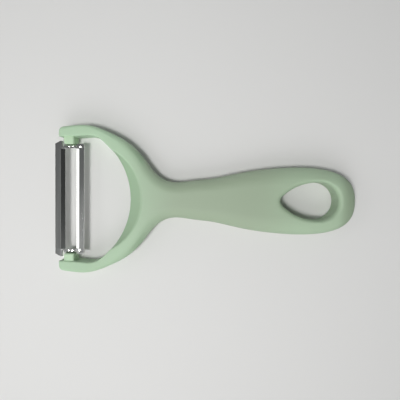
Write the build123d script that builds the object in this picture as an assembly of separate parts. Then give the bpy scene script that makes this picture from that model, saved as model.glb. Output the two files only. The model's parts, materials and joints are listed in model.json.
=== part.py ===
from build123d import *
import math
import os

# Peeler with a wishbone handle and a swivelling slotted blade.
# Millimetres. Z is up, the handle points along +X, and the origin is under the middle of the length.

# Lengths along the handle. Reaches are measured from the blade's pivot axis
tip_reach = 4.8
tip_corner = 2.4
crown_reach = 7.0
throat_reach = 28.8
bevel_length = 6.35
web_length = 21.7
grip_length = 58.25
bulb_length = 26.95

# Half-widths of the handle seen from above. The arms draw in a little towards their tips
head_half = 35.05
tip_tuck = 0.85
arm_width = 4.95
neck_half = 8.5
bulb_half = 16.0

# Heights, and the soft edges of a cross-section: how far in and how far down each corner runs
head_height = 10.0
bulb_height = 12.6
arm_edge_run = 1.5
arm_edge_drop = 1.6
grip_edge_run = 8.2
neck_edge_run = 5.6
grip_edge_drop = 5.4

# Shares that shape the outline between those places: (along, across)
tip_slope_share = 0.06
shoulder_shares = ((0.386, 0.868), (0.541, 0.709), (0.693, 0.429), (0.802, 0.168), (0.884, 0.052))
grip_shares = ((0.129, 0.107), (0.28, 0.227), (0.446, 0.487), (0.625, 0.76), (0.8, 0.92))
end_pull_shares = (0.8, 0.62)
level_shares = (0, 0.02, 0.07, 0.15, 0.27, 0.42, 0.58, 0.73, 0.85, 0.93, 0.98, 1)
corner_shares = (0, 0.33, 0.67)
side_stations = 20
end_stations = 8

# Head opening: how round the throat is, and the slopes that thin its edge
throat_radius_share = 1.2
corner_share = 0.336
crease_radius_share = 0.872
bevel_half_share = 0.84
land_height = 2.2
bevel_start = 0.3
bevel_skin_share = 1.9

# Hanging hole: a teardrop that points at the head, with a ring of handle round its far end
ring_width = 8.9
ring_side = 7.1
hole_tip_radius = 3.0
hole_side_share = 2.7
hole_length = 26.9
hole_lip_radius = 2.2
lip_shares = ((0, 1), (0.1, 0.564), (0.35, 0.24), (0.75, 0.032), (1, -0.12))

# Soft skin over the rigid core, and the windows that lock the two together
arm_skin = 1.2
grip_skin = 2.0
window_radius = 2.2
window_shares = (0.107, 0.344, 0.581)

# Stop block on the inner side of each arm tip
block_width = 4.8
block_height = 7.9
block_reach = 4.1
block_edge = 0.3
block_root = 1.4

# Blade: one stamping
pivot_height = 5.3
blade_width = 13.7
sheet = 0.7
blade_rise = 2.4
slot_width = 4.94
bridge_width = 1.6
lip_width = 2.05
lip_drop = 1.03
edge_thickness = 0.12
tab_clearance = 0.2
tab_radius = 2.8
bend_radius = 1.0
notch_half = 3.4
front_ear_overlap = 1.5
rear_ear_overlap = 0.15
front_ear_chamfers = (2.4, 1.3)
rear_ear_chamfers = (0.5, 0.5)

# Pivot pins
pin_radius = 1.2
pin_clearance = 0.05
pin_head_radius = 1.5
pin_head_height = 0.7
pin_head_edge = 0.3
pin_depth = 6.6

# How far a cutter runs past what it cuts
overrun = 3.0

blade_half = blade_width / 2
crease_reach = throat_reach + bevel_length
neck_reach = throat_reach + web_length
bulb_reach = neck_reach + grip_length
end_reach = bulb_reach + bulb_length
overall_length = end_reach + blade_half
pivot_x = blade_half - overall_length / 2

tip_half = head_half - tip_tuck
opening_half = head_half - arm_width
throat_radius = opening_half * throat_radius_share
opening_corner = opening_half * corner_share
crease_radius = opening_half * crease_radius_share
bevel_half = opening_half * bevel_half_share

hole_end_radius = bulb_half - ring_side
hole_side_radius = hole_end_radius * hole_side_share
hole_reach = end_reach - ring_width - hole_length

block_face = opening_half - block_reach
tab_face = block_face - tab_clearance
slot_half_length = tab_face - bridge_width
front_ear_reach = block_face + front_ear_overlap
rear_ear_reach = block_face + rear_ear_overlap


def between(start, end, share):
    return start + (end - start) * share


def along(reach, start, end):
    """How far a reach has gone from start to end, as a share that starts and stops gently."""
    share = min(max((reach - start) / (end - start), 0), 1)
    return share * share * (3 - 2 * share)


def height_at(reach):
    """Height of the handle's flat top, which climbs evenly from the arm tips to the bulb."""
    return between(head_height, bulb_height, (reach + tip_reach) / (bulb_reach + tip_reach))


def skin_at(reach):
    return between(arm_skin, grip_skin, (reach + tip_reach) / (bulb_reach + tip_reach))


def edge_run(reach):
    """How far in from the side the soft edge starts, seen from above."""
    if reach < neck_reach:
        return between(arm_edge_run, neck_edge_run, along(reach, crown_reach, neck_reach))
    return between(neck_edge_run, grip_edge_run, along(reach, neck_reach, bulb_reach))


def edge_drop(reach):
    """How far down from the flat top the soft edge reaches."""
    return between(arm_edge_drop, grip_edge_drop, along(reach, crown_reach, neck_reach))


def edge_inset(run, drop, depth):
    """How far a quarter-ellipse edge has drawn in at a depth below its flat."""
    short = 1 - min(depth / drop, 1)
    return run * (1 - math.sqrt(1 - short * short))


def outline_side():
    """Outer edge of the handle from an arm's tip to the bulb."""
    points = [(tip_corner - tip_reach, tip_half), (crown_reach, head_half)]
    for x_share, y_share in shoulder_shares:
        points.append((neck_reach * x_share, between(neck_half, head_half, y_share)))
    points.append((neck_reach, neck_half))
    for x_share, y_share in grip_shares:
        points.append((between(neck_reach, bulb_reach, x_share), between(neck_half, bulb_half, y_share)))
    points.append((bulb_reach, bulb_half))
    return Spline(*points, tangents=[(1, tip_slope_share), (1, 0)], tangent_scalars=[1, 1])


def outline_end():
    """Outer edge of the handle from the bulb round to the far end."""
    ahead, across = end_pull_shares
    pull = (between(bulb_reach, end_reach, ahead), bulb_half)
    return Bezier((bulb_reach, bulb_half), pull, (end_reach, bulb_half * across), (end_reach, 0))


def outline_stations():
    """Places on one half of the outline, each with its outward direction."""
    stations = []
    corner = Vector(tip_corner - tip_reach, tip_half - tip_corner)
    for share in corner_shares:
        turn = math.radians(90 * share)
        outward = Vector(-math.cos(turn), math.sin(turn))
        stations.append((corner + outward * tip_corner, outward))
    for curve, count in ((outline_side(), side_stations), (outline_end(), end_stations)):
        for index in range(count):
            tangent = curve.tangent_at(index / count)
            stations.append((curve.position_at(index / count), Vector(-tangent.Y, tangent.X)))
    stations.append((Vector(end_reach, 0), Vector(1, 0)))
    return stations


def outline_parameters():
    """How far along the whole outline each station is, the same at every level."""
    half = [point for point, outward in outline_stations()]
    whole = half + [Vector(point.X, -point.Y) for point in half[-2::-1]]
    distances = [0]
    for before, after in zip(whole, whole[1:]):
        distances.append(distances[-1] + (after - before).length)
    return [distance / distances[-1] for distance in distances]


def level_outline(inset_share, level_share):
    """Closed outline of the handle at one level, drawn in by its soft edge and a share of the skin."""
    near_side = []
    for point, outward in outline_stations():
        inset = skin_at(point.X) * inset_share
        depth = min(level_share, 1 - level_share) * (height_at(point.X) - 2 * inset)
        run = max(edge_run(point.X) - inset, arm_edge_run / 2)
        drop = max(edge_drop(point.X) - inset, arm_edge_drop / 2)
        near_side.append(point - outward * (inset + edge_inset(run, drop, depth)))
    far_side = [Vector(place.X, -place.Y) for place in near_side[-2::-1]]
    places = []
    for place in near_side + far_side:
        inset = skin_at(place.X) * inset_share
        rise = between(inset, height_at(place.X) - inset, level_share)
        places.append((pivot_x + place.X, place.Y, rise))
    side = Edge.make_spline(places, parameters=outline_parameters())
    return Wire([side, Line(places[-1], places[0])])


def handle_body(inset_share):
    """The handle's outer shape, drawn in all round by a share of the skin's thickness."""
    return Solid.make_loft([level_outline(inset_share, share) for share in level_shares])


def opening_cutter(offset):
    """The D-shaped space between the arms, open towards the blade."""
    radius = throat_radius + offset
    half = opening_half + offset
    centre_x = pivot_x + throat_reach - throat_radius
    meet_x = math.sqrt(radius ** 2 - half ** 2)
    round_end = Pos(centre_x, 0) * Circle(radius)
    channel = Pos(centre_x, 0) * Rectangle(radius, 2 * half, align=(Align.MIN, Align.CENTER))
    plan = round_end & channel
    corners = [v for v in plan.vertices() if abs(v.X - centre_x - meet_x) < overrun]
    plan = fillet(corners, opening_corner + offset)
    front = tip_reach + overrun + offset + throat_reach - throat_radius
    mouth = Pos(centre_x, 0) * Rectangle(front, 2 * half, align=(Align.MAX, Align.CENTER))
    depth = bulb_height + 2 * overrun
    return Pos(0, 0, -overrun) * extrude(plan + mouth, depth)


def cut_arc(reach, radius, level):
    """A segment of a circle, cut off by a straight line inside the opening."""
    centre_x = pivot_x + reach - radius
    side_x = centre_x + math.sqrt(radius ** 2 - bevel_half ** 2)
    near = (side_x, -bevel_half, level)
    far = (side_x, bevel_half, level)
    return Wire([ThreePointArc(near, (pivot_x + reach, 0, level), far), Line(far, near)])


def bevel_cutter(offset):
    """The slopes that thin the throat's edge, above and below, up to a curved crease."""
    top = height_at(crease_reach)
    low = (top + land_height) / 2
    inner = cut_arc(throat_reach - bevel_start, throat_radius, low)
    outer = cut_arc(crease_reach, crease_radius, top)
    upper = Solid.make_loft([inner, outer], ruled=True) + extrude(Face(outer), overrun, dir=(0, 0, 1))
    lower = mirror(upper, Plane.XY.offset(top / 2))
    return Pos(offset * bevel_skin_share, 0) * (upper + lower)


def teardrop(grow, level_plane):
    """The hanging hole's outline, drawn outwards by a distance."""
    spread = hole_length - hole_tip_radius - hole_end_radius
    tip_gap = hole_side_radius - hole_tip_radius
    end_gap = hole_side_radius - hole_end_radius
    side_x = (tip_gap ** 2 - end_gap ** 2 + spread ** 2) / (2 * spread)
    side = Vector(side_x, -math.sqrt(tip_gap ** 2 - side_x ** 2))
    tip = Vector(0, 0)
    end = Vector(spread, 0)
    tip_way = (tip - side).normalized()
    end_way = (end - side).normalized()
    tip_point = tip + tip_way * (hole_tip_radius + grow)
    end_point = end + end_way * (hole_end_radius + grow)
    crown = side + (tip_way + end_way).normalized() * (hole_side_radius + grow)
    below = [Vector(place.X, -place.Y) for place in (tip_point, crown, end_point)]
    nose = Vector(-hole_tip_radius - grow, 0)
    tail = Vector(spread + hole_end_radius + grow, 0)
    arcs = [ThreePointArc(below[0], below[1], below[2])]
    arcs.append(ThreePointArc(below[2], tail, end_point))
    arcs.append(ThreePointArc(end_point, crown, tip_point))
    arcs.append(ThreePointArc(tip_point, nose, below[0]))
    return Wire([level_plane.from_local_coords(arc) for arc in arcs])


def hole_cutter(offset):
    """The hanging hole through the handle."""
    start = Plane(origin=(pivot_x + hole_reach + hole_tip_radius, 0, -overrun))
    return extrude(Face(teardrop(offset, start)), bulb_height + 3 * overrun, dir=(0, 0, 1))


def hole_lips():
    """The rounded lips of the hanging hole, on the top and the underside."""
    centre = hole_reach + hole_length / 2
    tilt = math.degrees(math.atan2(bulb_height - head_height, bulb_reach + tip_reach))
    rings = []
    for deep, wide in lip_shares:
        ring_plane = Plane(origin=(hole_tip_radius - hole_length / 2, 0, -hole_lip_radius * deep))
        rings.append(teardrop(hole_lip_radius * wide, ring_plane))
    cutters = []
    for piece in (Solid.make_loft(rings), extrude(Face(rings[0]), overrun, dir=(0, 0, 1))):
        cutters.append(Pos(pivot_x + centre, 0, height_at(centre)) * Rot(0, -tilt, 0) * piece)
        cutters.append(mirror(Pos(pivot_x + centre, 0) * piece, Plane.XY))
    return cutters


def along_pivot(radius, start, end):
    """A round bar on the pivot axis between two distances from the middle, on the left side."""
    bar = Cylinder(radius, end - start, align=(Align.CENTER, Align.CENTER, Align.MIN))
    return Pos(pivot_x, start, pivot_height) * Rot(-90, 0, 0) * bar


def both_sides(solid):
    return solid + mirror(solid, Plane.XZ)


def stop_block():
    reach = opening_half + block_root - block_face
    block = Box(block_width, reach, block_height, align=(Align.CENTER, Align.MIN, Align.CENTER))
    inner_edges = block.faces().sort_by(Axis.Y)[0].edges()
    return Pos(pivot_x, block_face, pivot_height) * chamfer(inner_edges, block_edge)


def window_cutters():
    """The windows through the core that the soft skin fills."""
    depth = bulb_height + 2 * overrun
    cutter = Cylinder(window_radius, depth, align=(Align.CENTER, Align.CENTER, Align.MIN))
    places = [pivot_x + between(neck_reach, bulb_reach, share) for share in window_shares]
    return [Pos(place, 0, -overrun) * cutter for place in places]


def blade_end():
    """One bent end of the blade, on the left side: its tab, its disc round the pin and its ears."""
    top = pivot_height + blade_rise
    start = slot_half_length
    inner = tab_face - sheet
    corners = [(start, top), (tab_face, top), (tab_face, pivot_height), (inner, pivot_height)]
    corners += [(inner, top - sheet), (start, top - sheet)]
    fold = make_face(Polyline(*corners, close=True))
    outer_corner = fold.vertices().sort_by_distance((tab_face, top, 0))[0]
    fold = fillet(outer_corner, bend_radius)
    inner_corner = fold.vertices().sort_by_distance((inner, top - sheet, 0))[0]
    fold = fillet(inner_corner, bend_radius - sheet)
    strip = Pos(pivot_x, 0) * extrude(Plane.YZ * fold, tab_radius, both=True)
    tab = strip + along_pivot(tab_radius, inner, tab_face)
    for side, reach, (across, back) in (
        (-1, front_ear_reach, front_ear_chamfers),
        (1, rear_ear_reach, rear_ear_chamfers),
    ):
        ear = [(side * notch_half, start), (side * notch_half, reach)]
        ear += [(side * (blade_half - across), reach), (side * blade_half, reach - back)]
        ear.append((side * blade_half, start))
        plate = extrude(make_face(Polyline(*ear, close=True)), sheet)
        tab += Pos(pivot_x, 0, top - sheet) * plate
    return tab - along_pivot(pin_radius + pin_clearance, inner - overrun, tab_face + overrun)


def blade_solid():
    """The slotted blade: two flats, a ground lip on each side of the slot, and two bent ends."""
    top = pivot_height + blade_rise
    edge_x = slot_width / 2
    lip_x = edge_x + lip_width
    bridge = tab_face - bend_radius
    plate = Box(blade_width, 2 * bridge, sheet, align=(Align.CENTER, Align.CENTER, Align.MAX))
    plate -= Box(2 * lip_x, 2 * slot_half_length, 3 * sheet)
    section = [(lip_x, top), (edge_x, top - lip_drop), (edge_x, top - lip_drop - edge_thickness)]
    section.append((lip_x, top - sheet))
    lip = extrude(Plane.XZ * make_face(Polyline(*section, close=True)), slot_half_length, both=True)
    lips = Pos(pivot_x, 0) * (lip + mirror(lip, Plane.YZ))
    return Pos(pivot_x, 0, top) * plate + lips + both_sides(blade_end())


def pivot_pin():
    """One pin, on the left side: a flat head inside the blade's tab, and a shank out into the block."""
    head_face = tab_face - sheet - pin_clearance
    head = along_pivot(pin_head_radius, head_face - pin_head_height, head_face)
    rim = head.edges().group_by(Axis.Y)[0]
    head = fillet(rim, pin_head_edge)
    return head + along_pivot(pin_radius, head_face, block_face + pin_depth)


bores = both_sides(along_pivot(pin_radius, block_face - overrun, block_face + pin_depth))
core = handle_body(1) - opening_cutter(arm_skin) - bevel_cutter(arm_skin) - hole_cutter(grip_skin)
core = core - window_cutters() + both_sides(stop_block())
grip = handle_body(0) - opening_cutter(0) - bevel_cutter(0) - hole_cutter(0) - hole_lips() - core

parts = {
    "core_frame": core - bores,
    "soft_grip": grip,
    "blade": blade_solid(),
    "left_pivot_pin": pivot_pin(),
    "right_pivot_pin": mirror(pivot_pin(), Plane.XZ),
}

os.makedirs("parts", exist_ok=True)
for name, solid in parts.items():
    export_step(solid, "parts/" + name + ".step")
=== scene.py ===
"""Vegetable peeler: a soft-skinned wishbone handle and a slotted blade that swivels between its arms."""

import json
import logging
import math
from dataclasses import dataclass
from enum import Enum

import bmesh
import bpy
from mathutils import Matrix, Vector
from mathutils.bvhtree import BVHTree
from mathutils.geometry import delaunay_2d_cdt


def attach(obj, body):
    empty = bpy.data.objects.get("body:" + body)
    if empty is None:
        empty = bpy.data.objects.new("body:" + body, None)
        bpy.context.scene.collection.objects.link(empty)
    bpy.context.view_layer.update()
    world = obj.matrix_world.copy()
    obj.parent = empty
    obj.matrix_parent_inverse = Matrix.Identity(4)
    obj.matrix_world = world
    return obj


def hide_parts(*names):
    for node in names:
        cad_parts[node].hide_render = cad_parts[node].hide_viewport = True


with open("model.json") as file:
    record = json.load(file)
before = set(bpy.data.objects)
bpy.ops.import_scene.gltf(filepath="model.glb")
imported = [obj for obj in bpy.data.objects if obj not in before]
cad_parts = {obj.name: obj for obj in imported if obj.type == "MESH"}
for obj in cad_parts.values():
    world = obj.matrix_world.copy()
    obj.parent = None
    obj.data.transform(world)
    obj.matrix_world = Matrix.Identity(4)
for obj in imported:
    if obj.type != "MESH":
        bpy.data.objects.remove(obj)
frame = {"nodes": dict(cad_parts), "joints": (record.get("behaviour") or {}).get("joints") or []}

log = logging.getLogger("peeler")

MM = 0.001

# Middle of the blade's swivel axis
PIVOT = Vector(frame["joints"][0]["pos_m"])
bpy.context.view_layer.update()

# Corners closer than this are one corner
WELD = 0.0001 * MM

# The curve between screen colours and linear ones
SCREEN_WHITE = 255
CURVE_KNEE = 0.04045
CURVE_SLOPE = 12.92
CURVE_OFFSET = 0.055
CURVE_POWER = 2.4

# Middle level of Blender's noise
NOISE_MIDDLE = 0.5

# Sockets of the colour Mix node, whose names aren't unique
MIX_SHARE = 0
MIX_LOW = 6
MIX_HIGH = 7
MIX_RESULT = 2

# Kind of triangulation that fills the whole hull
WHOLE_HULL = 0

# Linear red, green, blue and alpha
Colour = tuple[float, float, float, float]

# X, Y and Z
Place = tuple[float, float, float]

# X and Y on the unfolded blade
Point = tuple[float, float]

# Two lengths of the same kind
Pair = tuple[float, float]

# The values at which a share is 0 and 1
Span = tuple[float, float]

# Waves per metre, and octaves of finer noise
Noise = tuple[float, float]


class Body(Enum):
    """The two rigid bodies that pieces ride on."""

    HANDLE = "handle"
    BLADE = "blade"


class Slot(Enum):
    """The record's material slots that the pieces made here take."""

    SOFT_SKIN = "soft_skin"
    HARD_PLASTIC = "hard_plastic"
    BLADE_STEEL = "blade_steel"


def tone(red: float, green: float, blue: float) -> Colour:
    """Turn a screen colour of 0 to 255 into the linear colour that a shader takes.

    Args:
        red: Red, as a screen shows it.
        green: Green, as a screen shows it.
        blue: Blue, as a screen shows it.

    Returns:
        The linear colour with full alpha.
    """
    linear = []
    for level in (red, green, blue):
        share = level / SCREEN_WHITE
        if share <= CURVE_KNEE:
            linear.append(share / CURVE_SLOPE)
        else:
            linear.append(((share + CURVE_OFFSET) / (1 + CURVE_OFFSET)) ** CURVE_POWER)
    return (linear[0], linear[1], linear[2], 1.0)


def ease(value: float, start: float, end: float) -> float:
    """Share of the way from start to end, with a gentle start and stop.

    Args:
        value: Where the caller is.
        start: Where the share is 0.
        end: Where the share is 1.

    Returns:
        A share between 0 and 1.
    """
    share = min(max((value - start) / (end - start), 0.0), 1.0)
    return share * share * (3 - 2 * share)


def encloses(ring: list[Point], place: Vector) -> bool:
    """Whether a closed ring goes round a point.

    Args:
        ring: The ring's corners in order.
        place: The point.

    Returns:
        True if the point is inside.
    """
    inside = False
    for (x1, y1), (x2, y2) in zip(ring, ring[1:] + ring[:1]):
        if (y1 > place.y) != (y2 > place.y) and place.x < x1 + (place.y - y1) / (y2 - y1) * (x2 - x1):
            inside = not inside
    return inside


class Value:
    """A number that varies over a surface. Arithmetic on it adds Math nodes to its graph."""

    def __init__(self, graph: "Graph", socket: bpy.types.NodeSocket) -> None:
        """Hold a socket of a graph.

        Args:
            graph: The node tree that the socket belongs to.
            socket: The output socket that carries the number.
        """
        self.graph = graph
        self.socket = socket

    def _math(self, operation: str, first: "Value | float", second: "Value | float") -> "Value":
        """Add a Math node.

        Args:
            operation: Blender's name of the operation.
            first: The first operand.
            second: The second operand.

        Returns:
            The node's result.
        """
        return self.graph.number("ShaderNodeMath", {"operation": operation}, {0: first, 1: second})

    def __add__(self, other: "Value | float") -> "Value":
        """Sum."""
        return self._math("ADD", self, other)

    __radd__ = __add__

    def __sub__(self, other: "Value | float") -> "Value":
        """Difference."""
        return self._math("SUBTRACT", self, other)

    def __rsub__(self, other: float) -> "Value":
        """Difference from a plain number."""
        return self._math("SUBTRACT", other, self)

    def __mul__(self, other: "Value | float") -> "Value":
        """Product."""
        return self._math("MULTIPLY", self, other)

    __rmul__ = __mul__

    def __abs__(self) -> "Value":
        """Size without its sign."""
        return self._math("ABSOLUTE", self, 0.0)

    def rising(self, start: float, end: float) -> "Value":
        """Share that goes smoothly from 0 to 1 between two values.

        Args:
            start: Value at which the share is 0.
            end: Value at which the share is 1.

        Returns:
            The share.
        """
        settings = {"interpolation_type": "SMOOTHSTEP"}
        inputs = {"Value": self, "From Min": start, "From Max": end}
        return self.graph.number("ShaderNodeMapRange", settings, inputs)


class Graph:
    """A node tree in the making."""

    def __init__(self, tree: bpy.types.NodeTree, coordinates: str) -> None:
        """Start an empty tree.

        Args:
            tree: The node tree to fill.
            coordinates: Name of the texture coordinates that it works in.
        """
        self.tree = tree
        tree.nodes.clear()
        self.place = self.node("ShaderNodeTexCoord", {}, {}).outputs[coordinates]
        axes = self.node("ShaderNodeSeparateXYZ", {}, {"Vector": self.place}).outputs
        self.x, self.y, self.z = (Value(self, axes[axis]) for axis in "XYZ")

    def node(self, kind: str, settings: dict, inputs: dict) -> bpy.types.Node:
        """Add a node of any kind.

        Args:
            kind: The node's Blender type.
            settings: Its properties, which are set first.
            inputs: Values, sockets or Values by input name or number.

        Returns:
            The new node.
        """
        made = self.tree.nodes.new(kind)
        for name, setting in settings.items():
            setattr(made, name, setting)
        for name, given in inputs.items():
            self.feed(made.inputs[name], given)
        return made

    def feed(self, target: bpy.types.NodeSocket, given: object) -> None:
        """Set or link one input.

        Args:
            target: The input socket.
            given: A Value, a socket or a constant.
        """
        if isinstance(given, Value):
            self.tree.links.new(given.socket, target)
        elif isinstance(given, bpy.types.NodeSocket):
            self.tree.links.new(given, target)
        else:
            target.default_value = given

    def number(self, kind: str, settings: dict, inputs: dict, output: int | str = 0) -> Value:
        """Add a node and take one of its outputs as a number.

        Args:
            kind: The node's Blender type.
            settings: Its properties.
            inputs: Its inputs.
            output: Name or number of the output.

        Returns:
            The output as a Value.
        """
        return Value(self, self.node(kind, settings, inputs).outputs[output])

    def noise(self, waves: float, detail: float, place: bpy.types.NodeSocket | None = None) -> Value:
        """Soft noise centred on 0, mostly between -0.3 and 0.3.

        Args:
            waves: Waves per unit of the coordinates.
            detail: Octaves of finer noise.
            place: Coordinates, if not the tree's own.

        Returns:
            The noise.
        """
        inputs = {"Vector": place or self.place, "Scale": waves, "Detail": detail}
        return self.number("ShaderNodeTexNoise", {}, inputs, "Fac") - NOISE_MIDDLE

    def streaks(self, waves: Place, detail: float) -> Value:
        """Soft noise drawn out along some axes, as rolling, grinding and turning leave it.

        Args:
            waves: Waves per metre along X, Y and Z.
            detail: Octaves of finer noise.

        Returns:
            The noise.
        """
        inputs = {"Vector": self.place, "Scale": waves}
        stretched = self.node("ShaderNodeMapping", {}, inputs).outputs["Vector"]
        return self.noise(1.0, detail, stretched)

    def mixed(self, share: Value, low: object, high: object) -> bpy.types.NodeSocket:
        """Colour between two colours.

        Args:
            share: 0 for the low colour and 1 for the high one.
            low: A colour or a colour socket.
            high: A colour or a colour socket.

        Returns:
            The mixed colour.
        """
        inputs = {MIX_SHARE: share, MIX_LOW: low, MIX_HIGH: high}
        return self.node("ShaderNodeMix", {"data_type": "RGBA"}, inputs).outputs[MIX_RESULT]


class Surface(Graph):
    """The node tree of one material, with its principled shader."""

    def __init__(self, name: str) -> None:
        """Start an empty material.

        Args:
            name: The material's name.
        """
        self.material = bpy.data.materials.new(name)
        self.material.use_nodes = True
        super().__init__(self.material.node_tree, "Object")
        self.shader = self.node("ShaderNodeBsdfPrincipled", {}, {})
        self.node("ShaderNodeOutputMaterial", {}, {"Surface": self.shader.outputs["BSDF"]})

    def relief(self, height: Value, depth: float, strength: float) -> None:
        """Give the surface a fine relief.

        Args:
            height: The relief's height, as a share of its depth.
            depth: How many metres a height of 1 stands for.
            strength: How much of the relief shows.
        """
        inputs = {"Height": height, "Distance": depth, "Strength": strength}
        bump = self.node("ShaderNodeBump", {}, inputs)
        self.feed(self.shader.inputs["Normal"], bump.outputs["Normal"])

    def finish(self, **inputs: object) -> bpy.types.Material:
        """Set the principled shader's inputs and hand the material over.

        Args:
            inputs: Shader inputs by name, with underscores for spaces.

        Returns:
            The finished material.
        """
        for name, given in inputs.items():
            self.feed(self.shader.inputs[name.replace("_", " ")], given)
        return self.material


@dataclass(frozen=True)
class SoftSkinFinish:
    """Matte soft-touch skin: a fine even grain, faint clouding and a moulding line round its side."""

    # Colours of the arms, of the greyer grip, which is painted shade for the dimmer light along the
    # handle, and of what lies over both
    arms: Colour = tone(173, 201, 170)
    grip: Colour = tone(153, 168, 144)
    cloudy: Colour = tone(150, 167, 142)
    rubbed: Colour = tone(164, 180, 156)
    # Painted shade for the throat's sloped edge
    throat_shade: Colour = tone(149, 176, 145)
    # Painted shade for the far end of the ring
    far_end_shade: Colour = tone(128, 142, 118)

    # Where the grip's painted shade sets in, and where part of it lifts again towards the arms' colour
    shaded_grip_span: Span = (-46 * MM, -12 * MM)
    shade_lift: Span = (18 * MM, 50 * MM)
    shade_lift_share: float = 0.4
    shaded_grip_drift: float = 20 * MM

    # Where the throat's sloped edge and the far end of the ring are, which both get painted shade
    throat_along: Span = (-27 * MM, -31 * MM)
    throat_across: Span = (27 * MM, 20 * MM)
    throat_below: Span = (10.6 * MM, 9.9 * MM)
    far_end_along: Span = (61.5 * MM, 67 * MM)
    far_end_share: float = 0.5

    # Clouding, rubbed patches and grain
    clouds: Noise = (26.0, 3.0)
    cloudy_levels: Span = (0.25, -0.25)
    cloudy_share: float = 0.35
    patches: Noise = (90.0, 4.0)
    patch_levels: Span = (0.02, 0.3)
    pebbles: Noise = (900.0, 2.0)
    pebble_levels: Span = (-0.1, 0.25)
    rubbed_share: float = 0.4
    grain: Noise = (5200.0, 2.0)

    # The moulding line, which rises a little from the arms to the bulb
    line_start: float = -69 * MM
    line_height: float = 5.05 * MM
    line_rise_share: float = 0.0115
    line_edges: Span = (0.03 * MM, 0.11 * MM)

    # How much each adds to the relief
    grain_relief: float = 0.22
    pebble_relief: float = 0.3
    line_relief: float = 0.9
    relief_depth: float = 0.05 * MM
    relief_strength: float = 0.6

    # How rough the skin is, and what changes that
    roughness: float = 0.56
    grain_roughness: float = 0.12
    cloud_roughness: float = 0.08
    rubbed_smoothness: float = 0.06
    sheen: float = 0.42

    def material(self) -> bpy.types.Material:
        """Build the skin's node material.

        Returns:
            The material.
        """
        graph = Surface("soft_touch_skin")
        clouds = graph.noise(*self.clouds)
        grain = graph.noise(*self.grain)
        pebbles = graph.noise(*self.pebbles)
        patches = graph.noise(*self.patches).rising(*self.patch_levels)
        wear = patches * pebbles.rising(*self.pebble_levels)
        base = self.base_colour(graph, clouds)
        base = graph.mixed(clouds.rising(*self.cloudy_levels) * self.cloudy_share, base, self.cloudy)
        base = graph.mixed(wear * self.rubbed_share, base, self.rubbed)
        relief = grain * self.grain_relief + pebbles * self.pebble_relief
        relief = relief + self.moulding_line(graph) * self.line_relief
        graph.relief(relief, self.relief_depth, self.relief_strength)
        rough = self.roughness + grain * self.grain_roughness + clouds * self.cloud_roughness
        rough = rough - wear * self.rubbed_smoothness
        return graph.finish(Base_Color=base, Roughness=rough, Specular_IOR_Level=self.sheen)

    def base_colour(self, graph: Surface, clouds: Value) -> bpy.types.NodeSocket:
        """Colour the skin from its arms to its grip, with painted shade on the grip, on the throat's
        sloped edge and at the ring's far end.

        Args:
            graph: The skin's node tree.
            clouds: The clouding, which blurs where one colour ends.

        Returns:
            The colour.
        """
        # Painted shade: the grip turns greyer and darker than the arms along the handle, and lifts part
        # way back near the bulb
        along = graph.x + clouds * self.shaded_grip_drift
        shade_lift = along.rising(*self.shade_lift) * self.shade_lift_share
        base = graph.mixed(along.rising(*self.shaded_grip_span) * (1 - shade_lift), self.arms, self.grip)
        # Painted shade: the throat's sloped edge is coloured darker than the arms
        throat_shade_share = graph.x.rising(*self.throat_along) * abs(graph.y).rising(*self.throat_across)
        base = graph.mixed(throat_shade_share * graph.z.rising(*self.throat_below), base, self.throat_shade)
        # Painted shade: the far end of the ring, which slopes away from the light, is coloured darker
        far_end_shade_share = graph.x.rising(*self.far_end_along) * self.far_end_share
        return graph.mixed(far_end_shade_share, base, self.far_end_shade)

    def moulding_line(self, graph: Surface) -> Value:
        """Find the thin line round the skin's side where its mould closed.

        Args:
            graph: The skin's node tree.

        Returns:
            1 on the line and 0 off it.
        """
        middle = self.line_height + (graph.x - self.line_start) * self.line_rise_share
        return 1 - abs(graph.z - middle).rising(*self.line_edges)


@dataclass(frozen=True)
class HardPlasticFinish:
    """Harder plastic of the core: crisp, satin, and a little lighter than the skin."""

    colour: Colour = tone(186, 212, 180)
    shade: Colour = tone(178, 205, 172)
    clouds: Noise = (160.0, 3.0)
    cloud_levels: Span = (-0.2, 0.2)
    sparks: Noise = (7000.0, 1.0)
    pebbles: Noise = (1400.0, 2.0)
    relief_each: float = 0.5
    relief_depth: float = 0.02 * MM
    relief_strength: float = 0.5
    roughness: float = 0.5
    roughness_each: float = 0.1
    sheen: float = 0.35

    def material(self) -> bpy.types.Material:
        """Build the core's node material.

        Returns:
            The material.
        """
        graph = Surface("satin_hard_plastic")
        clouds = graph.noise(*self.clouds)
        sparks = graph.noise(*self.sparks)
        base = graph.mixed(clouds.rising(*self.cloud_levels), self.shade, self.colour)
        relief = sparks * self.relief_each + graph.noise(*self.pebbles) * self.relief_each
        graph.relief(relief, self.relief_depth, self.relief_strength)
        rough = self.roughness + clouds * self.roughness_each + sparks * self.roughness_each
        return graph.finish(Base_Color=base, Roughness=rough, Specular_IOR_Level=self.sheen)


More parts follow.
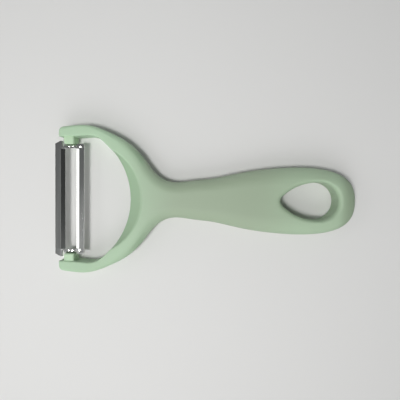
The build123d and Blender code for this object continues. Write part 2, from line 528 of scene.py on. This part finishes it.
@dataclass(frozen=True)
class BladeSteelFinish:
    """Rolled stainless sheet with ground lips: fine lines along the flats and across the lips."""

    colour: Colour = tone(200, 201, 198)
    dull: Colour = tone(182, 184, 180)
    lip_outside: Span = (4.45 * MM, 4.55 * MM)
    rolled_waves: Place = (9000.0, 160.0, 3000.0)
    ground_waves: Place = (300.0, 11000.0, 300.0)
    line_detail: float = 3.0
    line_dullness: float = 0.6
    smears: Noise = (130.0, 4.0)
    smear_levels: Span = (-0.05, 0.3)
    smear_dullness: float = 0.5
    relief_depth: float = 0.004 * MM
    relief_strength: float = 0.55
    roughness: float = 0.1
    lip_roughness: float = 0.04
    smear_roughness: float = 0.02
    line_roughness: float = 0.06

    def material(self) -> bpy.types.Material:
        """Build the blade's node material.

        Returns:
            The material.
        """
        graph = Surface("rolled_stainless_sheet")
        lip = 1 - abs(graph.x - PIVOT.x).rising(*self.lip_outside)
        rolled = graph.streaks(self.rolled_waves, self.line_detail)
        ground = graph.streaks(self.ground_waves, self.line_detail)
        lines = rolled + lip * (ground - rolled)
        smears = graph.noise(*self.smears).rising(*self.smear_levels)
        dullness = smears * self.smear_dullness + abs(lines) * self.line_dullness
        base = graph.mixed(dullness, self.colour, self.dull)
        graph.relief(lines, self.relief_depth, self.relief_strength)
        rough = self.roughness + lip * self.lip_roughness
        rough = rough + smears * self.smear_roughness + abs(lines) * self.line_roughness
        return graph.finish(Base_Color=base, Metallic=1.0, Roughness=rough)


@dataclass(frozen=True)
class PinSteelFinish:
    """Drawn pin wire: fine rings and a slight dullness."""

    colour: Colour = tone(186, 186, 184)
    dull: Colour = tone(140, 140, 138)
    ring_waves: Place = (500.0, 14000.0, 500.0)
    ring_detail: float = 2.0
    smears: Noise = (700.0, 3.0)
    smear_levels: Span = (-0.1, 0.3)
    smear_dullness: float = 0.7
    relief_depth: float = 0.006 * MM
    relief_strength: float = 0.5
    roughness: float = 0.28
    smear_roughness: float = 0.15
    ring_roughness: float = 0.1

    def material(self) -> bpy.types.Material:
        """Build the pins' node material.

        Returns:
            The material.
        """
        graph = Surface("drawn_pin_steel")
        rings = graph.streaks(self.ring_waves, self.ring_detail)
        smears = graph.noise(*self.smears).rising(*self.smear_levels)
        base = graph.mixed(smears * self.smear_dullness, self.colour, self.dull)
        graph.relief(rings, self.relief_depth, self.relief_strength)
        rough = self.roughness + smears * self.smear_roughness + abs(rings) * self.ring_roughness
        return graph.finish(Base_Color=base, Metallic=1.0, Roughness=rough)


@dataclass(frozen=True)
class FloorFinish:
    """Plain pale floor."""

    colour: Colour = tone(222, 221, 219)
    cloudy: Colour = tone(219, 218, 216)
    clouds: Noise = (3.0, 2.0)
    cloud_levels: Span = (-0.3, 0.3)
    roughness: float = 0.85

    def material(self) -> bpy.types.Material:
        """Build the floor's node material.

        Returns:
            The material.
        """
        graph = Surface("pale_floor")
        clouds = graph.noise(*self.clouds).rising(*self.cloud_levels)
        base = graph.mixed(clouds, self.colour, self.cloudy)
        return graph.finish(Base_Color=base, Roughness=self.roughness)


def made_object(name: str, mesh: bpy.types.Mesh) -> bpy.types.Object:
    """Put a mesh into the scene.

    Args:
        name: The object's name.
        mesh: Its mesh.

    Returns:
        The new object.
    """
    piece = bpy.data.objects.new(name, mesh)
    bpy.context.scene.collection.objects.link(piece)
    return piece


def solid_shape(node: str) -> bmesh.types.BMesh:
    """Copy a solid's mesh into a shape to work on.

    Args:
        node: The solid's node name.

    Returns:
        The shape.
    """
    shape = bmesh.new()
    shape.from_mesh(frame["nodes"][node].data)
    return shape


def made_mesh(name: str, shape: bmesh.types.BMesh) -> bpy.types.Mesh:
    """Turn a shape into a mesh.

    Args:
        name: The mesh's name.
        shape: The shape, which is freed.

    Returns:
        The mesh.
    """
    mesh = bpy.data.meshes.new(name)
    shape.to_mesh(mesh)
    shape.free()
    return mesh


def settled(rough: bpy.types.Object, name: str) -> bpy.types.Mesh:
    """Apply an object's modifiers and take the object away.

    Args:
        rough: The object with its modifiers.
        name: Name of the finished mesh.

    Returns:
        The finished mesh, shaded smooth.
    """
    shape = rough.evaluated_get(bpy.context.evaluated_depsgraph_get())
    mesh = bpy.data.meshes.new_from_object(shape)
    mesh.name = name
    mesh.shade_smooth()
    bpy.data.objects.remove(rough)
    return mesh


def painted(piece: bpy.types.Object, material: bpy.types.Material) -> None:
    """Give an object one material in place of what it has, and report it.

    Args:
        piece: The finished object.
        material: Its material.
    """
    piece.data.materials.clear()
    piece.data.materials.append(material)
    log.info("%s: %d faces", piece.name, len(piece.data.polygons))


def dressed(piece: bpy.types.Object, body: Body, material: bpy.types.Material) -> None:
    """Give a piece its material and the body that it rides on.

    Args:
        piece: The finished object.
        body: The body that carries it.
        material: Its material.
    """
    painted(piece, material)
    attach(piece, body.value)


@dataclass
class Grip:
    """The soft skin, moulded round the core in one piece with no hard creases."""

    voxel: float = 0.36 * MM
    smoothing: float = 0.5
    smoothing_rounds: int = 3
    on_core: float = 0.02 * MM
    tip_swell: float = 0.65 * MM
    swell_along: Span = (2.5 * MM, 7.5 * MM)
    swell_across: Span = (30.3 * MM, 33.5 * MM)

    def swell(self, place: Vector) -> float:
        """How far the inner side of an arm stands further in beside its stop block.

        Args:
            place: A point of the skin.

        Returns:
            The distance that it moves towards the middle.
        """
        along = 1 - ease(place.x - PIVOT.x, *self.swell_along)
        across = 1 - ease(abs(place.y), *self.swell_across)
        return self.tip_swell * along * across

    def outside(self) -> bpy.types.Mesh:
        """Copy the skin's outer faces and close the holes where the stop blocks come through.

        Returns:
            A closed mesh of the handle's outside.
        """
        core = solid_shape("core_frame")
        core_tree = BVHTree.FromBMesh(core)
        core.free()
        skin = solid_shape("soft_grip")
        bmesh.ops.remove_doubles(skin, verts=skin.verts, dist=WELD)
        inside = {corner for corner in skin.verts if core_tree.find_nearest(corner.co)[3] < self.on_core}
        lining = [face for face in skin.faces if all(corner in inside for corner in face.verts)]
        bmesh.ops.delete(skin, geom=lining, context="FACES")
        rims = [edge for edge in skin.edges if edge.is_boundary]
        bmesh.ops.holes_fill(skin, edges=rims, sides=0)
        for corner in skin.verts:
            corner.co.y -= math.copysign(self.swell(corner.co), corner.co.y)
        bmesh.ops.recalc_face_normals(skin, faces=skin.faces)
        return made_mesh("grip_outside", skin)

    def build(self) -> bpy.types.Object:
        """Remesh the outside evenly and soften its creases.

        Returns:
            The skin's object.
        """
        rough = made_object("grip_outside", self.outside())
        remesh = rough.modifiers.new("even", "REMESH")
        remesh.mode = "VOXEL"
        remesh.voxel_size = self.voxel
        smooth = rough.modifiers.new("soft", "SMOOTH")
        smooth.factor = self.smoothing
        smooth.iterations = self.smoothing_rounds
        return made_object("soft_skin", settled(rough, "soft_skin"))

    def place(self) -> None:
        """Build the skin, dress it and let it stand for its solid."""
        skin = self.build()
        dressed(skin, Body.HANDLE, SoftSkinFinish().material())
        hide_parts("soft_grip")


@dataclass(frozen=True)
class Dent:
    """A small round dent in the blade's sheet, in the blade's millimetres."""

    across: float
    along: float
    size: float


@dataclass
class Blade:
    """One stamping: two flats, a lip down each side of the slot, and two ends folded into tabs.

    Its sizes are in millimetres: across the blade from its pivot, along the unfolded sheet from its
    middle, and up from the table.
    """

    half_width: float = 6.85
    top: float = 7.7
    sheet: float = 0.7
    same_place: float = 1e-5

    # The slot and its front and rear lips, which fade out before its ends
    slot_half: float = 24.2
    cutting_edges: Pair = (-2.4, 2.95)
    lip_outsides: Pair = (-4.2, 4.52)
    lip_slope: float = 0.5
    lip_under_share: float = 0.44
    lip_fade: float = 0.4
    fade_steps: int = 4

    # The fold at each end, and the tab beyond it with its pin hole
    fold_start: float = 25.0
    fold_radius: float = 0.8
    fold_lead: float = 0.04
    fold_tail: float = 0.2
    fold_steps: int = 28
    tab_half: float = 2.8
    tab_margin: float = 0.01
    hole_radius: float = 1.25
    round_steps: int = 24

    # The ears beside each tab, with their chamfers across and along the blade
    notch_half: float = 3.4
    notch_bottom: float = 24.8
    front_ear: float = 27.5
    front_chamfers: Pair = (2.4, 1.3)
    rear_ear: float = 26.15
    rear_chamfers: Pair = (0.5, 0.5)

    # Two dents at the root of each fold and one in each rear corner, which has a finer mesh
    fold_dents: tuple[Dent, Dent] = (Dent(-0.1, 24.62, 0.34), Dent(1.65, 24.62, 0.34))
    corner_dent: Dent = Dent(5.2, 24.35, 0.5)
    dent_depth_share: float = 0.3
    corner_spread_share: float = 2.2
    corner_line_share: float = 2.3
    corner_steps: int = 9

    # Softened rims, and how sharp a crease still shows as one
    edge_softening: float = 0.05
    edge_steps: int = 2
    rim_angle: float = math.radians(50)
    crease_angle: float = math.radians(14)

    @property
    def disc_centre(self) -> float:
        """Distance of the pin hole from the middle, measured along the unfolded sheet."""
        arc = self.fold_radius * math.pi / 2
        return self.fold_start + arc + self.top - self.fold_radius - PIVOT.z / MM

    def outline(self) -> list[Point]:
        """Corners of the unfolded sheet, going round from a rear corner.

        Returns:
            The ring of corners.
        """
        half = []
        reach = self.disc_centre
        half.append((self.half_width, self.rear_ear - self.rear_chamfers[1]))
        half.append((self.half_width - self.rear_chamfers[0], self.rear_ear))
        half.append((self.notch_half, self.rear_ear))
        half.append((self.notch_half, self.notch_bottom))
        half.append((self.tab_half, self.notch_bottom))
        for step in range(self.round_steps + 1):
            turn = math.pi * step / self.round_steps
            half.append((self.tab_half * math.cos(turn), reach + self.tab_half * math.sin(turn)))
        half.append((-self.tab_half, self.notch_bottom))
        half.append((-self.notch_half, self.notch_bottom))
        half.append((-self.notch_half, self.front_ear))
        half.append((-self.half_width + self.front_chamfers[0], self.front_ear))
        half.append((-self.half_width, self.front_ear - self.front_chamfers[1]))
        return half + [(x, -y) for x, y in reversed(half)]

    def holes(self) -> list[list[Point]]:
        """Corners of the slot and of the two pin holes.

        Returns:
            Three rings of corners.
        """
        left, right = self.cutting_edges
        limit = self.slot_half
        rings = [[(right, limit), (left, limit), (left, -limit), (right, -limit)]]
        for end in (1, -1):
            ring = []
            for step in range(self.round_steps):
                turn = math.tau * step / self.round_steps
                along = end * self.disc_centre + self.hole_radius * math.sin(turn)
                ring.append((self.hole_radius * math.cos(turn), along))
            rings.append(ring)
        return rings

    def lines(self) -> list[tuple[Point, Point]]:
        """Lines on the sheet that let it crease at the lips and bend at the folds and corner dents.

        Returns:
            Pairs of ends.
        """
        limit = self.slot_half
        lines = [((side, -limit), (side, limit)) for side in self.lip_outsides]
        for end in (1, -1):
            lines += self.lip_end_lines(end) + self.fold_lines(end) + self.corner_lines(end)
        return lines

    def lip_end_lines(self, end: int) -> list[tuple[Point, Point]]:
        """Lines across the sheet where the lips fade out.

        Args:
            end: 1 or -1, the end of the blade.

        Returns:
            Pairs of ends.
        """
        lines = []
        for step in range(self.fade_steps + 1):
            reach = self.slot_half - self.lip_fade * step / self.fade_steps
            for edge in self.cutting_edges:
                rim = math.copysign(self.half_width, edge)
                lines.append(((edge, end * reach), (rim, end * reach)))
        return lines

    def fold_lines(self, end: int) -> list[tuple[Point, Point]]:
        """A fine grid of lines over the fold.

        Args:
            end: 1 or -1, the end of the blade.

        Returns:
            Pairs of ends.
        """
        lines = []
        first = self.slot_half + self.fold_lead
        last = self.fold_start + self.fold_radius * math.pi / 2 + self.fold_tail
        for step in range(self.fold_steps + 1):
            reach = first + (last - first) * step / self.fold_steps
            lines.append(((-self.tab_half, end * reach), (self.tab_half, end * reach)))
        for step in range(1, 2 * self.fold_steps):
            side = self.tab_half * (step / self.fold_steps - 1)
            lines.append(((side, end * first), (side, end * last)))
        return lines

    def corner_lines(self, end: int) -> list[tuple[Point, Point]]:
        """A fine grid of lines over the dent in the rear corner.

        Args:
            end: 1 or -1, the end of the blade.

        Returns:
            Pairs of ends.
        """
        lines = []
        across, reach = self.corner_dent.across, self.corner_dent.along
        size = self.corner_dent.size
        span = self.corner_line_share * size
        for step in range(-self.corner_steps, self.corner_steps + 1):
            away = self.corner_spread_share * size * step / self.corner_steps
            level = end * (reach + away)
            lines.append(((across - span, level), (across + span, level)))
            side = across + away
            lines.append(((side, end * (reach - span)), (side, end * (reach + span))))
        return lines

    def flat_pattern(self) -> tuple[list[Vector], list[list[int]]]:
        """Triangulate the unfolded sheet, and keep what is steel and not a gap.

        Returns:
            Points of the sheet and its faces.
        """
        rim = self.outline()
        holes = self.holes()
        points: list[Vector] = []
        edges: list[tuple[int, int]] = []
        for ring in [rim] + holes:
            first = len(points)
            points += [Vector(place) for place in ring]
            numbers = list(range(first, len(points)))
            edges += [(numbers[i - 1], numbers[i]) for i in range(len(numbers))]
        for start, end in self.lines():
            points += [Vector(start), Vector(end)]
            edges.append((len(points) - 2, len(points) - 1))
        made = delaunay_2d_cdt(points, edges, [], WHOLE_HULL, self.same_place)
        places, faces = made[0], made[2]
        kept = []
        for face in faces:
            middle = sum((places[i] for i in face), Vector((0.0, 0.0))) / len(face)
            if encloses(rim, middle) and not any(encloses(hole, middle) for hole in holes):
                kept.append(face)
        return places, kept

    def shaped(self, place: Vector, under: bool) -> Vector:
        """Fold one point of the sheet into the blade's shape.

        Args:
            place: The point on the unfolded sheet.
            under: Whether it is on the underside.

        Returns:
            The point in millimetres, from the pivot's middle across X and Y and from the table up.
        """
        end = 1 if place.y >= 0 else -1
        reach = abs(place.y)
        lip = self.lip_outsides[place.x > 0]
        fade = 1 - ease(reach, self.slot_half - self.lip_fade, self.slot_half)
        drop = max(abs(lip) - abs(place.x), 0.0) * self.lip_slope * fade
        if under:
            drop *= self.lip_under_share
        pressed = self.sheet if under else self.dent(place.x, reach)
        if reach <= self.fold_start or abs(place.x) > self.tab_half + self.tab_margin:
            return Vector((place.x, end * reach, self.top - pressed - drop))
        turn = min((reach - self.fold_start) / self.fold_radius, math.pi / 2)
        below_fold = max(reach - self.fold_start - self.fold_radius * math.pi / 2, 0.0)
        radius = self.fold_radius - pressed
        folded = self.fold_start + radius * math.sin(turn)
        height = self.top - self.fold_radius + radius * math.cos(turn) - below_fold
        return Vector((place.x, end * folded, height))

    def dent(self, x: float, reach: float) -> float:
        """Depth of the stiffening dents at the root of a fold and in the corner of the rear flat.

        Args:
            x: Distance from the pivot across the blade.
            reach: Distance from the middle along the unfolded sheet.

        Returns:
            How far the surface is pressed in.
        """
        depth = 0.0
        for dent in (*self.fold_dents, self.corner_dent):
            away = ((x - dent.across) ** 2 + (reach - dent.along) ** 2) / dent.size ** 2
            depth += self.dent_depth_share * dent.size * math.exp(-away)
        return depth

    def build(self) -> bpy.types.Object:
        """Build the folded sheet with its thickness and softened edges.

        Returns:
            The blade's object.
        """
        places, faces = self.flat_pattern()
        shell = bmesh.new()
        upper = [shell.verts.new(self.in_frame(self.shaped(place, False))) for place in places]
        lower = [shell.verts.new(self.in_frame(self.shaped(place, True))) for place in places]
        for corners in faces:
            shell.faces.new([upper[i] for i in corners])
            shell.faces.new([lower[i] for i in reversed(corners)])
        partner = dict(zip(upper, lower))
        rims = [edge for edge in shell.edges if edge.is_boundary and edge.verts[0] in partner]
        for edge in rims:
            first, second = edge.verts
            shell.faces.new([first, second, partner[second], partner[first]])
        bmesh.ops.recalc_face_normals(shell, faces=shell.faces)
        return self.softened(made_object("blade_sheet", made_mesh("blade_sheet", shell)))

    def in_frame(self, place: Vector) -> Vector:
        """Move a point from the blade's own millimetres into the frame."""
        return Vector((PIVOT.x + place.x * MM, place.y * MM, place.z * MM))

    def softened(self, rough: bpy.types.Object) -> bpy.types.Object:
        """Take the keenness off the sheet's rims and shade it by its angles.

        Args:
            rough: The sheet with sharp rims.

        Returns:
            The finished object.
        """
        bevel = rough.modifiers.new("rims", "BEVEL")
        bevel.width = self.edge_softening * MM
        bevel.segments = self.edge_steps
        bevel.limit_method = "ANGLE"
        bevel.angle_limit = self.rim_angle
        mesh = settled(rough, "slotted_blade")
        mesh.set_sharp_from_angle(angle=self.crease_angle)
        return made_object("slotted_blade", mesh)

    def place(self) -> None:
        """Build the blade, dress it and let it stand for its solid."""
        sheet = self.build()
        dressed(sheet, Body.BLADE, BladeSteelFinish().material())
        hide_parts("blade")


@dataclass
class Core:
    """The rigid core, of which only the stop blocks show, and the two pins pressed into it."""

    pins: tuple[str, str] = ("left_pivot_pin", "right_pivot_pin")

    # Where a stop block ends, how far it is rounded, and the bore that stays as it is
    block_face: float = 26.0 * MM
    rounding: float = 0.75 * MM
    rounding_steps: int = 4
    rounding_profile: float = 0.5
    bore_clear: float = 1.6 * MM

    # How sharp an edge has to be to be rounded, to show as one, and to be more than a flat face
    sharp_angle: float = math.radians(50)
    crease_angle: float = math.radians(30)
    flat_angle: float = math.radians(1)

    def block_edges(self, shape: bmesh.types.BMesh) -> list[bmesh.types.BMEdge]:
        """Outer edges of the two stop blocks' free ends.

        Args:
            shape: The core's mesh.

        Returns:
            The edges to round.
        """
        chosen = []
        for edge in shape.edges:
            nearest = min(abs(corner.co.y) for corner in edge.verts)
            off_axis = min((corner.co - PIVOT).xz.length for corner in edge.verts)
            on_face = abs(nearest - self.block_face) < self.rounding / 2
            if on_face and off_axis > self.bore_clear and edge.calc_face_angle(0.0) > self.sharp_angle:
                chosen.append(edge)
        return chosen

    def rounded(self) -> bpy.types.Object:
        """Copy the core and round its stop blocks.

        Returns:
            The core's object.
        """
        shape = solid_shape("core_frame")
        bmesh.ops.remove_doubles(shape, verts=shape.verts, dist=WELD)
        bmesh.ops.dissolve_limit(shape, angle_limit=self.flat_angle, verts=shape.verts, edges=shape.edges)
        edges = self.block_edges(shape)
        log.info("stop blocks: %d edges rounded", len(edges))
        bmesh.ops.bevel(
            shape,
            geom=edges,
            offset=self.rounding,
            segments=self.rounding_steps,
            profile=self.rounding_profile,
            affect="EDGES",
        )
        mesh = made_mesh("stop_core", shape)
        mesh.shade_smooth()
        mesh.set_sharp_from_angle(angle=self.crease_angle)
        return made_object("stop_core", mesh)

    def place(self) -> None:
        """Build and dress the core, and paint the pins, whose solids stay."""
        core = self.rounded()
        dressed(core, Body.HANDLE, HardPlasticFinish().material())
        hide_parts("core_frame")
        steel = PinSteelFinish().material()
        for name in self.pins:
            painted(frame["nodes"][name], steel)


@dataclass(frozen=True)
class Sky:
    """Soft dome of light: dim overhead, bright low down along the blade's line, brighter on the left."""

    overhead: float = 0.13
    low_down: float = 0.6
    leftward: float = 0.2
    nearward: float = 0.2
    near_span: Span = (0.0, -0.3)
    horizon: float = 0.42
    horizon_span: Span = (0.35, 0.0)
    colour: Colour = tone(245, 248, 250)

    def world(self) -> bpy.types.World:
        """Build the world's node tree.

        Returns:
            The world.
        """
        world = bpy.data.worlds.new("studio_world")
        world.use_nodes = True
        graph = Graph(world.node_tree, "Generated")
        high = graph.z * graph.z
        low = graph.y * graph.y * (1 - high) * self.low_down
        near = graph.y.rising(*self.near_span) * self.nearward
        horizon = abs(graph.z).rising(*self.horizon_span) * self.horizon
        light = self.overhead + low + near + horizon - graph.x * high * self.leftward
        inputs = {"Color": self.colour, "Strength": light}
        dome = graph.node("ShaderNodeBackground", {}, inputs)
        graph.node("ShaderNodeOutputWorld", {}, {"Surface": dome.outputs["Background"]})
        return world


@dataclass(frozen=True)
class Lamp:
    """A soft lamp that points at the peeler. Its place and size are in metres."""

    name: str
    place: Place
    width: float
    height: float
    watts: float

    def hang(self) -> None:
        """Put the lamp into the scene."""
        data = bpy.data.lights.new(self.name, "AREA")
        data.shape = "RECTANGLE"
        data.size = self.width
        data.size_y = self.height
        data.energy = self.watts
        lamp = bpy.data.objects.new(self.name, data)
        lamp.location = self.place
        lamp.rotation_euler = (-Vector(self.place)).to_track_quat("-Z", "Y").to_euler()
        lamp.visible_camera = False
        bpy.context.scene.collection.objects.link(lamp)


@dataclass
class Studio:
    """Floor, lamps, world and camera. Places are in metres, the lens and its sensor in millimetres."""

    floor_half: float = 1.2
    floor_cells: int = 4
    camera_place: Place = (-2.365 * MM, 5.05 * MM, 184 * MM)
    camera_pitch: float = math.radians(-1.62)
    camera_roll: float = math.radians(0.573)
    camera_nearest: float = 10 * MM
    lens: float = 33.3
    sensor: float = 36.0

    # One overhead, one beyond the lower arm, one at the left, and a low soft window at the far left
    lamps: tuple[Lamp, ...] = (
        Lamp("key_lamp", (-0.092, -0.06, 0.40), 0.08, 0.08, 0.9),
        Lamp("fill_lamp", (-0.10, -0.62, 0.62), 0.5, 0.5, 1.45),
        Lamp("side_lamp", (-0.52, 0.03, 0.5), 0.26, 0.26, 0.3),
        Lamp("window_lamp", (-0.85, -0.025, 0.29), 0.34, 0.16, 0.36),
    )

    def floor(self) -> None:
        """Lay the pale floor under the peeler."""
        ground = bmesh.new()
        cells = self.floor_cells
        bmesh.ops.create_grid(ground, x_segments=cells, y_segments=cells, size=self.floor_half)
        floor = made_object("floor", made_mesh("floor", ground))
        painted(floor, FloorFinish().material())

    def lights(self) -> None:
        """Hang the lamps and light the dome."""
        for lamp in self.lamps:
            lamp.hang()
        bpy.context.scene.world = Sky().world()

    def camera(self) -> None:
        """Look down from where the photograph was taken."""
        data = bpy.data.cameras.new("camera")
        data.sensor_width = self.sensor
        data.lens = self.lens
        data.clip_start = self.camera_nearest
        camera = bpy.data.objects.new("camera", data)
        camera.location = self.camera_place
        camera.rotation_euler = (self.camera_pitch, 0.0, self.camera_roll)
        bpy.context.scene.collection.objects.link(camera)
        bpy.context.scene.camera = camera

    def place(self) -> None:
        """Set up the whole studio."""
        self.floor()
        self.lights()
        self.camera()
        bpy.context.scene.view_settings.view_transform = "Standard"


def main() -> None:
    """Build the peeler over its frame, and the studio round it."""
    logging.basicConfig(level=logging.INFO, format="%(name)s %(message)s")
    Studio().place()
    Core().place()
    Grip().place()
    Blade().place()


if __name__ == "__main__":
    main()
